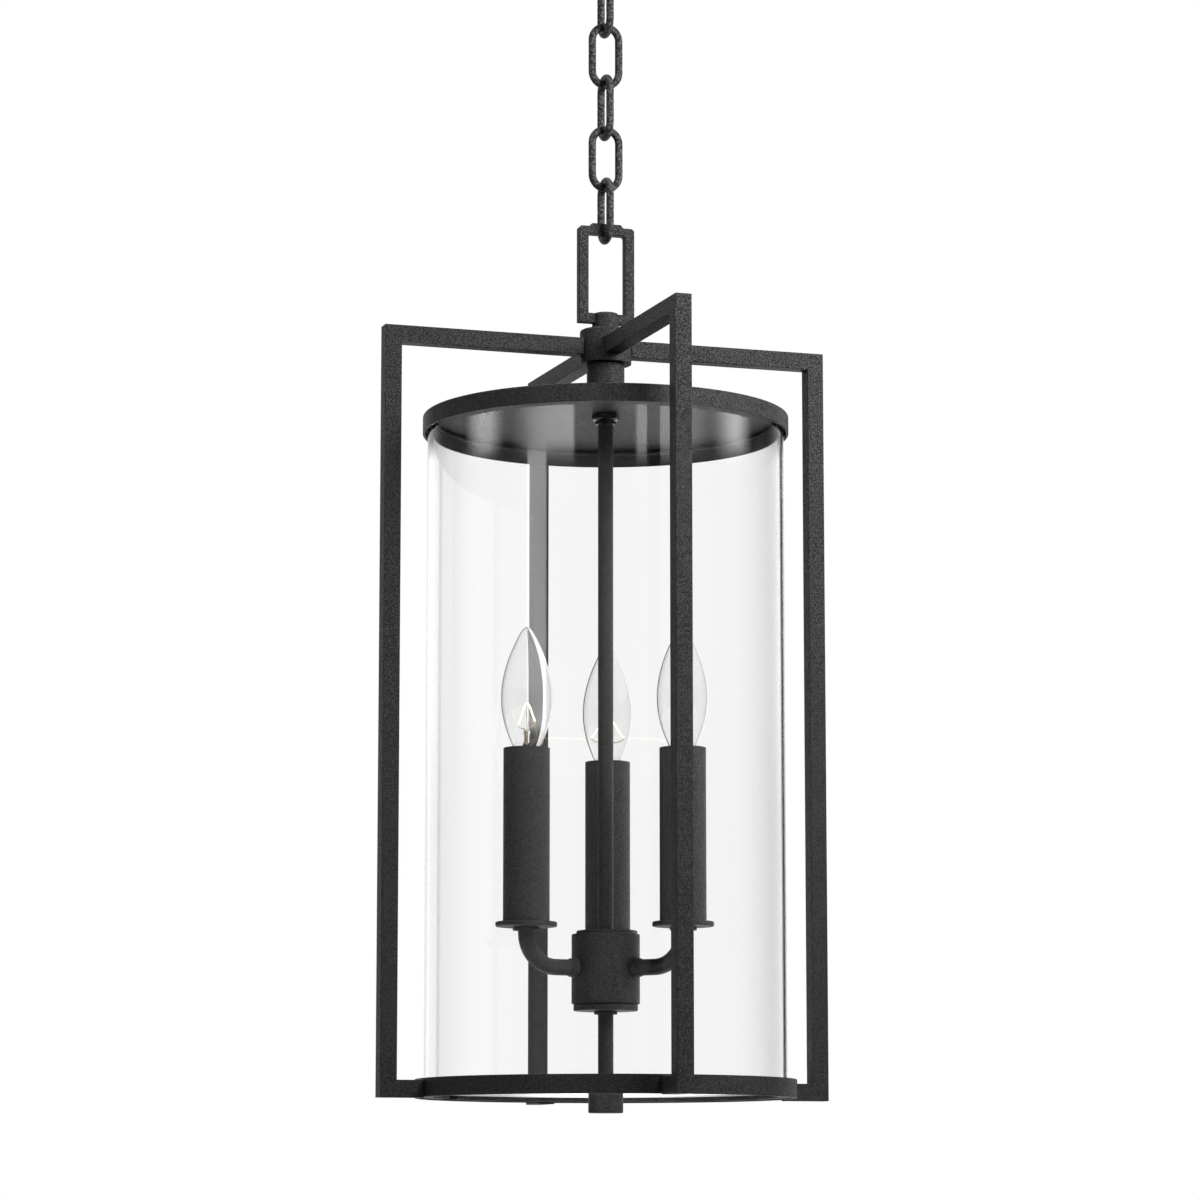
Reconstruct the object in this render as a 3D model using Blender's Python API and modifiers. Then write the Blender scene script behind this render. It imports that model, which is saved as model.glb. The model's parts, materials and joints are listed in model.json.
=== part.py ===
"""Hanging lantern: a frame of square bars round a glass cylinder, three candles inside, and a chain.

Metres, +Z up. The origin is the middle of the mounting strap's top face, against the ceiling, and
the lantern hangs below it. Sizes are in millimetres, and a height is measured from the underside
of the frame. The rails stand on the X and Y axes.
"""

import math

import bmesh
import bpy
from mathutils import Matrix, Vector

MM = 0.001
GAP = 0.3

# Sides of the turned pieces. Pieces that nest in one another share the first.
LARGE_STEPS = 48
MEDIUM_STEPS = 32
SMALL_STEPS = 20

# Chain of round wire. Neighbouring links stand at right angles.
LINK_COUNT = 5
LINK_WIRE = 4.8
LINK_INNER_LENGTH = 33.8
LINK_WIDTH = 22.5
LINK_PITCH = LINK_INNER_LENGTH - GAP

# Frame of four C-shaped square bars, welded to the hub above and to the ring below.
BAR = 10.6
BAR_CHAMFER = 0.4
FRAME_RADIUS = 144.6
FRAME_HEIGHT = 473.0
HUB_RADIUS = 16.2
HUB_BOTTOM = 457.7
HUB_TOP = 479.3
HUB_EDGE = 1.5
COPE_REACH = 4.0
COPE_STEPS = 80
NECK_RADIUS = 11.85
TUBE_RADIUS = 4.75
TUBE_BORE = 3.2
BORE_CLEARANCE = 0.35
TUBE_CLEARANCE = TUBE_RADIUS + BORE_CLEARANCE

# Hanger loop over the hub.
LOOP_WIDTH = 36.6
LOOP_BOTTOM = 483.5
LOOP_SADDLE = 540.3
LOOP_SIDE = 6.3
LOOP_TOP = 545.6
LOOP_DEPTH = 6.0
LOOP_CHAMFER = 0.8
LOOP_PAD_HALF = 9.0
LOOP_PAD_RISE = 2.0
LOOP_CLIP = 1.6
LOOP_INNER_CORNER = 1.5
LOOP_SLACK = 0.7
BOSS_RADIUS = 8.5
BOSS_TOP = 490.3
BOSS_CROWN = 3.0

# Glass cylinder between the cap and the bottom ring.
GLASS_RADIUS = 111.2
GLASS_WALL = 3.0
GLASS_BOTTOM = 5.5
GLASS_TOP = 419.7
CAP_RADIUS = 114.3
CAP_BOTTOM = 412.4
CAP_RIM_TOP = 423.5
CAP_SHEET = 1.5
CAP_DOME = 4.3
TOP_SEAL = 1.4
TOP_SEAL_OVERHANG = 1.0
TOP_SEAL_INSET = 1.0
RING_RADIUS = 117.0
RING_WALL = 3.0
RING_BOTTOM = 0.6
RING_TOP = 12.0
GROOVE_DEPTH = 1.2
GROOVE_BOTTOM = 0.9
GROOVE_TOP = 3.7
SEAL_LIP_TOP = 9.0
SEAL_LIP_GAP = 0.9
SEAL_INSET = 1.4
LEDGE_INNER_RADIUS = 106.0
LEDGE_SPLIT_AT = 135.0
LEDGE_SPLIT_DEGREES = 5.0

# Nuts on the tube, under the cap: across their corners, and how thick.
CAP_NUT = (18.0, 4.2)
JAM_NUT = (14.0, 2.6)

# Candle cluster: its body, and the radius and thickness of the discs on it.
CLUSTER_RADIUS = 21.0
CLUSTER_BOTTOM = 58.0
CLUSTER_TOP = 100.7
CLUSTER_EDGE = 0.6
TOP_PLATE = (18.0, 1.8)
BOTTOM_CAP = (19.8, 3.9)
CLUSTER_NUT = (7.2, 1.8)
ARM_COUNT = 3
FIRST_ARM_DEGREES = 70.0
ARM_HEIGHT = 79.7
ARM_RADIUS = 5.0
ARM_BEND = 20.0
ARM_TOP = 112.0
FLANGE_LENGTH = 4.5
FLANGE_WALL = 0.5
FLANGE_FLARE = 1.3
CANDLE_CIRCLE = 55.0
BOBECHE_COLLAR = (8.25, 2.0)
BOBECHE_RADIUS = 18.75
BOBECHE_BOTTOM = 103.6
BOBECHE_TOP = 106.6
BOBECHE_EDGE = 0.5
SLEEVE_RADIUS = 14.2
SLEEVE_WALL = 1.0
SLEEVE_TOP = 212.9
SOCKET_RADIUS = 11.0
SOCKET_BORE = 6.4
SOCKET_TOP = 208.9
SOCKET_WELL = 31.0
SOCKET_BODY = 12.0
SOCKET_FOOT = 16.0
SOCKET_FOOT_RADIUS = 6.0
BULB_BASE_RADIUS = 5.95
BULB_BASE_DROP = 4.0
BULB_BASE_SHELL = 18.5
BULB_BASE_CONE = 21.0
BULB_BASE_LENGTH = 22.6
BULB_CONTACT = 2.0
BULB_CONE_END = 3.2
BULB_WALL = 0.9
FINIAL_RADIUS = 10.7
FINIAL_BOTTOM = -8.3
FINIAL_TOP = 13.0
FINIAL_SOCKET = 8.0
FINIAL_TOP_EDGE = 0.6
FINIAL_EDGE = 0.8

# Ceiling set.
CANOPY_RADIUS = 60.0
CANOPY_HEIGHT = 25.0
CANOPY_SHEET = 1.2
CANOPY_FLAT_RADIUS = 14.0
CANOPY_RIM = 5.0
STRAP_LENGTH = 104.0
STRAP_WIDTH = 18.0
STRAP_THICKNESS = 2.5
STRAP_SLOT = (34.0, 45.0)
STRAP_SLOT_WIDTH = 5.0
CANOPY_LOOP_WIRE = 5.6
CANOPY_LOOP_WIDTH = 25.0
CANOPY_LOOP_RISE = 36.0
CANOPY_LOOP_CORNER = 6.0
COLLAR_RADIUS = 9.0
COLLAR_LENGTH = 9.5
COLLAR_NUT_RADIUS = 12.0
COLLAR_NUT_HEIGHT = 5.8
COLLAR_NUT_EDGE = 1.0
NIPPLE_ENGAGEMENT = 7.0

# Heights that follow from the chain hanging in the two loops.
LOWEST_LINK = LOOP_SADDLE - LOOP_SLACK + LINK_INNER_LENGTH / 2
HIGHEST_LINK = LOWEST_LINK + (LINK_COUNT - 1) * LINK_PITCH
CANOPY_LOOP_BAR = HIGHEST_LINK + LINK_INNER_LENGTH / 2 - GAP - CANOPY_LOOP_WIRE / 2
COLLAR_TOP = CANOPY_LOOP_BAR + CANOPY_LOOP_RISE + COLLAR_LENGTH
COLLAR_NUT_TOP = COLLAR_TOP + GAP + COLLAR_NUT_HEIGHT
CEILING = COLLAR_NUT_TOP + GAP + CANOPY_HEIGHT


def level(height):
    """The world height, in metres, of a height above the underside of the frame."""
    return (height - CEILING) * MM


def clear_scene():
    for thing in list(bpy.data.objects):
        bpy.data.objects.remove(thing, do_unlink=True)


def new_collection(name):
    collection = bpy.data.collections.new(name)
    bpy.context.scene.collection.children.link(collection)
    return collection


def new_material(name, colour, roughness, metallic=0.0, transmission=0.0):
    material = bpy.data.materials.new(name)
    material.use_nodes = True
    shader = material.node_tree.nodes["Principled BSDF"]
    shader.inputs["Base Color"].default_value = (*colour, 1.0)
    shader.inputs["Roughness"].default_value = roughness
    shader.inputs["Metallic"].default_value = metallic
    shader.inputs["Transmission Weight"].default_value = transmission
    return material


clear_scene()
parts = new_collection("hanging_lantern")
cutters = new_collection("cutters")
black_coat = new_material("black_coat", (0.022, 0.022, 0.023), 0.45)
clear_glass = new_material("clear_glass", (0.95, 0.96, 0.96), 0.02, transmission=1.0)
bulb_clear = new_material("bulb_clear", (0.97, 0.97, 0.96), 0.02, transmission=1.0)
silicone = new_material("silicone", (0.75, 0.75, 0.73), 0.5)
black_rubber = new_material("black_rubber", (0.03, 0.03, 0.03), 0.6)
bright_steel = new_material("bright_steel", (0.6, 0.6, 0.6), 0.3, metallic=1.0)
brass = new_material("brass", (0.7, 0.5, 0.2), 0.3, metallic=1.0)
white_ceramic = new_material("white_ceramic", (0.8, 0.78, 0.74), 0.35)


def finish(thing, material, collection=parts):
    """Gives an object its material and puts it in its collection."""
    thing.data.materials.clear()
    thing.data.materials.append(material)
    collection.objects.link(thing)
    return thing


def turned(name, outline, material, steps=SMALL_STEPS, location=(0, 0, 0), rotation=(0, 0, 0)):
    """A lathe piece. The outline's (radius, height) points run clockwise, down the outer side."""
    shape = bmesh.new()
    corners = [shape.verts.new((radius * MM, 0, height * MM)) for radius, height in outline]
    for corner, following in zip(corners, corners[1:]):
        shape.edges.new((corner, following))
    if outline[0][0] > 0:
        shape.edges.new((corners[-1], corners[0]))
    mesh = bpy.data.meshes.new(name)
    shape.to_mesh(mesh)
    shape.free()
    thing = bpy.data.objects.new(name, mesh)
    thing.location = location
    thing.rotation_euler = rotation
    screw = thing.modifiers.new("Screw", "SCREW")
    screw.steps = steps
    screw.render_steps = steps
    screw.use_merge_vertices = True
    screw.merge_threshold = 0.00001
    screw.use_smooth_shade = True
    return finish(thing, material)


def arc(centre, radius, start, end, count):
    """Points on an arc, in degrees anticlockwise from the first axis."""
    angles = [math.radians(start + (end - start) * step / count) for step in range(count + 1)]
    return [
        (centre[0] + radius * math.cos(angle), centre[1] + radius * math.sin(angle))
        for angle in angles
    ]


def circle(radius, count):
    return arc((0, 0), radius, 0, 360 * (count - 1) / count, count - 1)


def spline_through(curve, points, cyclic):
    spline = curve.splines.new("POLY")
    spline.points.add(len(points) - 1)
    for spot, point in zip(spline.points, points):
        place = [value * MM for value in point]
        spot.co = (*place, 1.0) if len(place) == 3 else (*place, 0.0, 1.0)
    spline.use_cyclic_u = cyclic


def plate(name, outlines, thickness, material, location=(0, 0, 0), rotation=(0, 0, 0)):
    """A flat outline, with any holes, as thick as it says about its own plane."""
    curve = bpy.data.curves.new(name, "CURVE")
    curve.dimensions = "2D"
    curve.fill_mode = "BOTH"
    curve.extrude = thickness * MM / 2
    for outline in outlines:
        spline_through(curve, outline, cyclic=True)
    thing = bpy.data.objects.new(name, curve)
    thing.location = location
    thing.rotation_euler = rotation
    return finish(thing, material)


def wire(name, points, radius, material, cyclic=False, location=(0, 0, 0), rotation=(0, 0, 0)):
    """Round wire or tube stock along a path."""
    curve = bpy.data.curves.new(name, "CURVE")
    curve.dimensions = "3D"
    curve.bevel_depth = radius * MM
    curve.bevel_resolution = 2
    curve.use_fill_caps = not cyclic
    spline_through(curve, points, cyclic)
    thing = bpy.data.objects.new(name, curve)
    thing.location = location
    thing.rotation_euler = rotation
    return finish(thing, material)


def to_mesh(thing):
    """The same piece as a mesh object, which Boolean and Bevel can work on."""
    bpy.context.view_layer.update()
    evaluated = thing.evaluated_get(bpy.context.evaluated_depsgraph_get())
    mesh = bpy.data.meshes.new_from_object(evaluated)
    shape = bmesh.new()
    shape.from_mesh(mesh)
    bmesh.ops.remove_doubles(shape, verts=shape.verts, dist=0.00001)
    bmesh.ops.recalc_face_normals(shape, faces=shape.faces)
    shape.to_mesh(mesh)
    shape.free()
    name = thing.name
    matrix = thing.matrix_world.copy()
    collection = thing.users_collection[0]
    bpy.data.objects.remove(thing, do_unlink=True)
    made = bpy.data.objects.new(name, mesh)
    made.matrix_world = matrix
    collection.objects.link(made)
    return made


def cylinder_tool(name, radius, low, high, steps=24):
    """A cutter, or a boss to be joined, along the lantern's axis."""
    shape = bmesh.new()
    bmesh.ops.create_cone(
        shape,
        cap_ends=True,
        segments=steps,
        radius1=radius * MM,
        radius2=radius * MM,
        depth=(high - low) * MM,
    )
    mesh = bpy.data.meshes.new(name)
    shape.to_mesh(mesh)
    shape.free()
    tool = bpy.data.objects.new(name, mesh)
    tool.location = (0, 0, level((low + high) / 2))
    tool.hide_render = True
    tool.display_type = "WIRE"
    cutters.objects.link(tool)
    return tool


def as_cutter(thing):
    tool = to_mesh(thing)
    for collection in tool.users_collection:
        collection.objects.unlink(tool)
    cutters.objects.link(tool)
    tool.hide_render = True
    tool.display_type = "WIRE"
    return tool


def chamfered(thing, width):
    bevel = thing.modifiers.new("Chamfer", "BEVEL")
    bevel.width = width * MM
    bevel.segments = 1
    bevel.limit_method = "ANGLE"
    bevel.angle_limit = math.radians(40)
    return thing


def combined(thing, tool, operation):
    boolean = thing.modifiers.new(operation.title(), "BOOLEAN")
    boolean.operation = operation
    boolean.object = tool
    return thing


UPRIGHT = math.pi / 2


def make_ceiling_set():
    """Strap on the ceiling box, nipple, canopy, its ring nut and the loop for the chain."""
    half_length = STRAP_LENGTH / 2
    half_width = STRAP_WIDTH / 2
    ends = arc((half_length - half_width, 0), half_width, -90, 90, 8)
    outline = ends + [(-x, -y) for x, y in ends]
    inner, outer = STRAP_SLOT
    slot_end = STRAP_SLOT_WIDTH / 2
    right_slot = arc((outer, 0), slot_end, -90, 90, 6) + arc((inner, 0), slot_end, 90, 270, 6)
    left_slot = [(-x, -y) for x, y in right_slot]
    strap = plate(
        "mounting_strap",
        [outline],
        STRAP_THICKNESS,
        bright_steel,
        location=(0, 0, -STRAP_THICKNESS * MM / 2),
    )
    strap = to_mesh(strap)
    for side, slot in (("right", right_slot), ("left", left_slot)):
        tool = as_cutter(plate(f"strap_slot_{side}", [slot], 4 * STRAP_THICKNESS, bright_steel))
        combined(strap, tool, "DIFFERENCE")
    pocket_top = CEILING - STRAP_THICKNESS / 2
    pocket = cylinder_tool("strap_pocket", TUBE_CLEARANCE, CEILING - 2 * STRAP_THICKNESS, pocket_top)
    combined(strap, pocket, "DIFFERENCE")

    nipple = [
        (TUBE_BORE, pocket_top - GAP),
        (TUBE_RADIUS, pocket_top - GAP),
        (TUBE_RADIUS, COLLAR_TOP - NIPPLE_ENGAGEMENT),
        (TUBE_BORE, COLLAR_TOP - NIPPLE_ENGAGEMENT),
    ]
    turned("canopy_nipple", nipple, bright_steel, location=(0, 0, level(0)))

    # The outside falls from the rim to the flat in the middle on a quarter of an ellipse.
    steps = 5
    fall = CANOPY_HEIGHT - CANOPY_RIM
    reach = CANOPY_RADIUS - CANOPY_FLAT_RADIUS
    outside = [(CANOPY_RADIUS, CEILING)]
    inside = [(CANOPY_RADIUS - CANOPY_SHEET, CEILING)]
    for step in range(steps + 1):
        angle = math.pi / 2 * step / steps
        across = CANOPY_FLAT_RADIUS + reach * math.cos(angle)
        down = CEILING - CANOPY_RIM - fall * math.sin(angle)
        outside.append((across, down))
        inside.append((across - CANOPY_SHEET * math.cos(angle), down + CANOPY_SHEET))
    outside.append((TUBE_CLEARANCE, CEILING - CANOPY_HEIGHT))
    inside.append((TUBE_CLEARANCE, CEILING - CANOPY_HEIGHT + CANOPY_SHEET))
    turned("ceiling_canopy", outside + inside[::-1], black_coat, steps=MEDIUM_STEPS, location=(0, 0, level(0)))

    nut = [
        (TUBE_CLEARANCE, COLLAR_NUT_TOP),
        (COLLAR_NUT_RADIUS - COLLAR_NUT_EDGE, COLLAR_NUT_TOP),
        (COLLAR_NUT_RADIUS, COLLAR_NUT_TOP - COLLAR_NUT_EDGE),
        (COLLAR_NUT_RADIUS, COLLAR_TOP + GAP + COLLAR_NUT_EDGE),
        (COLLAR_NUT_RADIUS - COLLAR_NUT_EDGE, COLLAR_TOP + GAP),
        (TUBE_CLEARANCE, COLLAR_TOP + GAP),
    ]
    turned("canopy_collar_nut", nut, black_coat, location=(0, 0, level(0)))

    corner = CANOPY_LOOP_CORNER
    half = CANOPY_LOOP_WIDTH / 2
    low = CANOPY_LOOP_BAR
    high = CANOPY_LOOP_BAR + CANOPY_LOOP_RISE
    path = arc((half - corner, high - corner), corner, 0, 90, 5)
    path += arc((corner - half, high - corner), corner, 90, 180, 5)
    path += arc((corner - half, low + corner), corner, 180, 270, 5)
    path += arc((half - corner, low + corner), corner, 270, 360, 5)
    loop = wire(
        "canopy_loop",
        [(x, 0, height) for x, height in path],
        CANOPY_LOOP_WIRE / 2,
        black_coat,
        cyclic=True,
        location=(0, 0, level(0)),
    )
    loop = to_mesh(loop)
    collar = cylinder_tool("canopy_collar", COLLAR_RADIUS, high - CANOPY_LOOP_WIRE / 4, COLLAR_TOP)
    bore_bottom = COLLAR_TOP - NIPPLE_ENGAGEMENT - GAP
    bore = cylinder_tool("canopy_collar_bore", TUBE_CLEARANCE, bore_bottom, COLLAR_TOP + COLLAR_LENGTH)
    combined(loop, collar, "UNION")
    combined(loop, bore, "DIFFERENCE")


def make_chain():
    """Oval links, numbered from the canopy down. The first stands across the canopy's loop."""
    bend = (LINK_WIDTH - LINK_WIRE) / 2
    straight = (LINK_INNER_LENGTH + LINK_WIRE) / 2 - bend
    path = arc((0, straight), bend, 0, 180, 9) + arc((0, -straight), bend, 180, 360, 9)
    for index in range(LINK_COUNT):
        centre = HIGHEST_LINK - index * LINK_PITCH
        wire(
            f"chain_link_{index + 1}",
            [(across, 0, along) for across, along in path],
            LINK_WIRE / 2,
            black_coat,
            cyclic=True,
            location=(0, 0, level(centre)),
            rotation=(0, 0, 0 if index % 2 else UPRIGHT),
        )


def make_hanger():
    """Rectangular loop with a raised pad on top and a round boss through its lower bar."""
    half = LOOP_WIDTH / 2
    pad = LOOP_PAD_HALF
    clip = LOOP_CLIP
    outer = [
        (half, LOOP_BOTTOM),
        (half, LOOP_TOP - clip),
        (half - clip, LOOP_TOP),
        (pad + LOOP_PAD_RISE, LOOP_TOP),
        (pad, LOOP_TOP + LOOP_PAD_RISE),
    ]
    outer += [(-x, height) for x, height in outer[::-1]]
    corner = LOOP_INNER_CORNER
    inside = half - LOOP_SIDE
    floor = LOOP_BOTTOM + LOOP_SIDE
    hole = arc((inside - corner, LOOP_SADDLE - corner), corner, 0, 90, 4)
    hole += [(-x, height) for x, height in hole[::-1]]
    hole += [(-inside, floor), (inside, floor)]
    loop = plate(
        "hanger_loop",
        [outer, hole],
        LOOP_DEPTH,
        black_coat,
        location=(0, 0, level(0)),
        rotation=(UPRIGHT, 0, 0),
    )
    loop = chamfered(to_mesh(loop), LOOP_CHAMFER)
    boss = cylinder_tool("hanger_boss", BOSS_RADIUS, HUB_TOP + GAP, BOSS_TOP, steps=32)
    bore = cylinder_tool("hanger_bore", TUBE_CLEARANCE, HUB_TOP - BAR, BOSS_TOP - BOSS_CROWN)
    combined(loop, boss, "UNION")
    combined(loop, bore, "DIFFERENCE")


def make_frame():
    """Hub, neck and the four rails, each a C of square bar whose top arm is coped to the hub."""
    hub = [
        (TUBE_CLEARANCE, HUB_TOP),
        (HUB_RADIUS - HUB_EDGE, HUB_TOP),
        (HUB_RADIUS - HUB_EDGE / 4, HUB_TOP - HUB_EDGE / 4),
        (HUB_RADIUS, HUB_TOP - HUB_EDGE),
        (HUB_RADIUS, HUB_BOTTOM),
        (TUBE_CLEARANCE, HUB_BOTTOM),
    ]
    turned("top_hub", hub, black_coat, steps=MEDIUM_STEPS, location=(0, 0, level(0)))
    neck_bottom = CAP_RIM_TOP + CAP_DOME + GAP
    neck = [
        (TUBE_CLEARANCE, HUB_BOTTOM - GAP),
        (NECK_RADIUS, HUB_BOTTOM - GAP),
        (NECK_RADIUS, neck_bottom),
        (TUBE_CLEARANCE, neck_bottom),
    ]
    turned("hub_neck", neck, black_coat, steps=MEDIUM_STEPS, location=(0, 0, level(0)))

    ring_side = RING_RADIUS + GAP
    inside = FRAME_RADIUS - BAR
    outline = [
        (HUB_RADIUS - COPE_REACH, FRAME_HEIGHT),
        (FRAME_RADIUS, FRAME_HEIGHT),
        (FRAME_RADIUS, 0),
        (ring_side, 0),
        (ring_side, BAR),
        (inside, BAR),
        (inside, FRAME_HEIGHT - BAR),
        (HUB_RADIUS - COPE_REACH, FRAME_HEIGHT - BAR),
    ]
    cope = cylinder_tool("hub_cope", HUB_RADIUS + GAP, HUB_BOTTOM - BAR, HUB_TOP + BAR, COPE_STEPS)
    for name, turn in (("right", 0), ("back", 90), ("left", 180), ("front", 270)):
        rail = plate(
            f"frame_rail_{name}",
            [outline],
            BAR,
            black_coat,
            location=(0, 0, level(0)),
            rotation=(UPRIGHT, 0, math.radians(turn)),
        )
        rail = chamfered(to_mesh(rail), BAR_CHAMFER)
        combined(rail, cope, "DIFFERENCE")


def make_glazing():
    """Cap, glass cylinder, its two seals, the bottom ring and the split ring that holds the glass."""
    top = CAP_RIM_TOP
    sheet = CAP_SHEET
    cap = [
        (TUBE_CLEARANCE, top + CAP_DOME),
        (CAP_RADIUS, top),
        (CAP_RADIUS, CAP_BOTTOM),
        (CAP_RADIUS - sheet, CAP_BOTTOM),
        (CAP_RADIUS - sheet, top - sheet),
        (TUBE_CLEARANCE, top + CAP_DOME - sheet),
    ]
    base = (0, 0, level(0))
    turned("top_cap", cap, black_coat, steps=LARGE_STEPS, location=base)
    inner = GLASS_RADIUS - GLASS_WALL
    glass = [
        (inner, GLASS_TOP),
        (GLASS_RADIUS, GLASS_TOP),
        (GLASS_RADIUS, GLASS_BOTTOM),
        (inner, GLASS_BOTTOM),
    ]
    turned("glass_cylinder", glass, clear_glass, steps=LARGE_STEPS, location=base)
    top_seal = [
        (inner - TOP_SEAL_INSET, GLASS_TOP + GAP + TOP_SEAL),
        (GLASS_RADIUS + TOP_SEAL_OVERHANG, GLASS_TOP + GAP + TOP_SEAL),
        (GLASS_RADIUS + TOP_SEAL_OVERHANG, GLASS_TOP + GAP),
        (inner - TOP_SEAL_INSET, GLASS_TOP + GAP),
    ]
    turned("top_gasket", top_seal, black_rubber, steps=LARGE_STEPS, location=base)
    lip = GLASS_RADIUS + GAP
    edge = RING_RADIUS - RING_WALL - SEAL_LIP_GAP
    bottom_seal = [
        (lip, SEAL_LIP_TOP),
        (edge, SEAL_LIP_TOP),
        (edge, GROOVE_TOP),
        (inner - SEAL_INSET, GROOVE_TOP),
        (inner - SEAL_INSET, GLASS_BOTTOM - GAP),
        (lip, GLASS_BOTTOM - GAP),
    ]
    turned("bottom_gasket", bottom_seal, silicone, steps=LARGE_STEPS, location=base)
    wall = RING_RADIUS - RING_WALL
    groove = wall + GROOVE_DEPTH
    ring = [
        (wall, RING_TOP),
        (RING_RADIUS, RING_TOP),
        (RING_RADIUS, RING_BOTTOM),
        (wall, RING_BOTTOM),
        (wall, GROOVE_BOTTOM),
        (groove, GROOVE_BOTTOM),
        (groove, GROOVE_TOP),
        (wall, GROOVE_TOP),
    ]
    turned("bottom_ring", ring, black_coat, steps=LARGE_STEPS, location=base)
    start = LEDGE_SPLIT_AT + LEDGE_SPLIT_DEGREES / 2
    end = start + 360 - LEDGE_SPLIT_DEGREES
    split = arc((0, 0), groove - 2 * GAP, start, end, LARGE_STEPS)
    split += arc((0, 0), LEDGE_INNER_RADIUS, end, start, LARGE_STEPS)
    plate(
        "glass_retaining_ring",
        [split],
        GROOVE_TOP - GROOVE_BOTTOM - 2 * GAP,
        black_coat,
        location=(0, 0, level((GROOVE_TOP + GROOVE_BOTTOM) / 2)),
    )


def hex_nut(name, size, top, material):
    across_corners, thickness = size
    outlines = [circle(across_corners / 2, 6), circle(TUBE_CLEARANCE, SMALL_STEPS)]
    plate(name, outlines, thickness, material, location=(0, 0, level(top - thickness / 2)))


def make_centre():
    """The tube down the middle, its nuts under the cap, the cluster that it carries and the finial."""
    base = (0, 0, level(0))
    nut_top = CAP_RIM_TOP + CAP_DOME - CAP_SHEET - GAP
    hex_nut("cap_nut", CAP_NUT, nut_top, bright_steel)
    hex_nut("jam_nut", JAM_NUT, nut_top - CAP_NUT[1] - GAP, bright_steel)
    split = (CLUSTER_BOTTOM + CLUSTER_TOP) / 2
    tube = [
        (TUBE_BORE, BOSS_TOP - BOSS_CROWN - GAP),
        (TUBE_RADIUS, BOSS_TOP - BOSS_CROWN - GAP),
        (TUBE_RADIUS, split + GAP),
        (TUBE_BORE, split + GAP),
    ]
    turned("centre_tube", tube, black_coat, location=base)
    body = [
        (TUBE_CLEARANCE, CLUSTER_TOP),
        (CLUSTER_RADIUS - CLUSTER_EDGE, CLUSTER_TOP),
        (CLUSTER_RADIUS, CLUSTER_TOP - CLUSTER_EDGE),
        (CLUSTER_RADIUS, CLUSTER_BOTTOM + CLUSTER_EDGE),
        (CLUSTER_RADIUS - CLUSTER_EDGE, CLUSTER_BOTTOM),
        (TUBE_CLEARANCE, CLUSTER_BOTTOM),
    ]
    turned("cluster_body", body, black_coat, steps=MEDIUM_STEPS, location=base)
    cap_top = CLUSTER_BOTTOM - GAP
    discs = (
        ("cluster_top_plate", TOP_PLATE, CLUSTER_TOP + GAP + TOP_PLATE[1]),
        ("cluster_bottom_cap", BOTTOM_CAP, cap_top),
        ("cluster_nut", CLUSTER_NUT, cap_top - BOTTOM_CAP[1] - GAP),
    )
    for name, (radius, thickness), high in discs:
        outline = [
            (TUBE_CLEARANCE, high),
            (radius, high),
            (radius, high - thickness),
            (TUBE_CLEARANCE, high - thickness),
        ]
        turned(name, outline, black_coat, steps=MEDIUM_STEPS, location=base)
    rod = [
        (0, split - GAP),
        (TUBE_RADIUS, split - GAP),
        (TUBE_RADIUS, FINIAL_TOP - FINIAL_SOCKET + GAP),
        (0, FINIAL_TOP - FINIAL_SOCKET + GAP),
    ]
    turned("lower_rod", rod, black_coat, location=base)
    finial = [
        (0, FINIAL_TOP - FINIAL_SOCKET),
        (TUBE_CLEARANCE, FINIAL_TOP - FINIAL_SOCKET),
        (TUBE_CLEARANCE, FINIAL_TOP),
        (FINIAL_RADIUS - FINIAL_TOP_EDGE, FINIAL_TOP),
        (FINIAL_RADIUS, FINIAL_TOP - FINIAL_TOP_EDGE),
        (FINIAL_RADIUS, FINIAL_BOTTOM + FINIAL_EDGE),
        (FINIAL_RADIUS - FINIAL_EDGE, FINIAL_BOTTOM),
        (0, FINIAL_BOTTOM),
    ]
    turned("finial", finial, black_coat, steps=MEDIUM_STEPS, location=base)


def bulb_outline():
    """Torpedo bulb from its tip to its neck, as heights over the sleeve's top, then back inside."""
    outside = [
        (0, 74.8),
        (2.6, 73.5),
        (7.4, 64.6),
        (12.4, 52.0),
        (15.4, 38.6),
        (15.9, 30.7),
        (13.4, 14.0),
        (8.0, 0.0),
        (6.5, -3.7),
    ]
    inside = [
        (max(radius - BULB_WALL, 0), height - (0.0 if height < 60 else BULB_WALL))
        for radius, height in outside[::2]
    ]
    return outside + inside[::-1]


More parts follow.
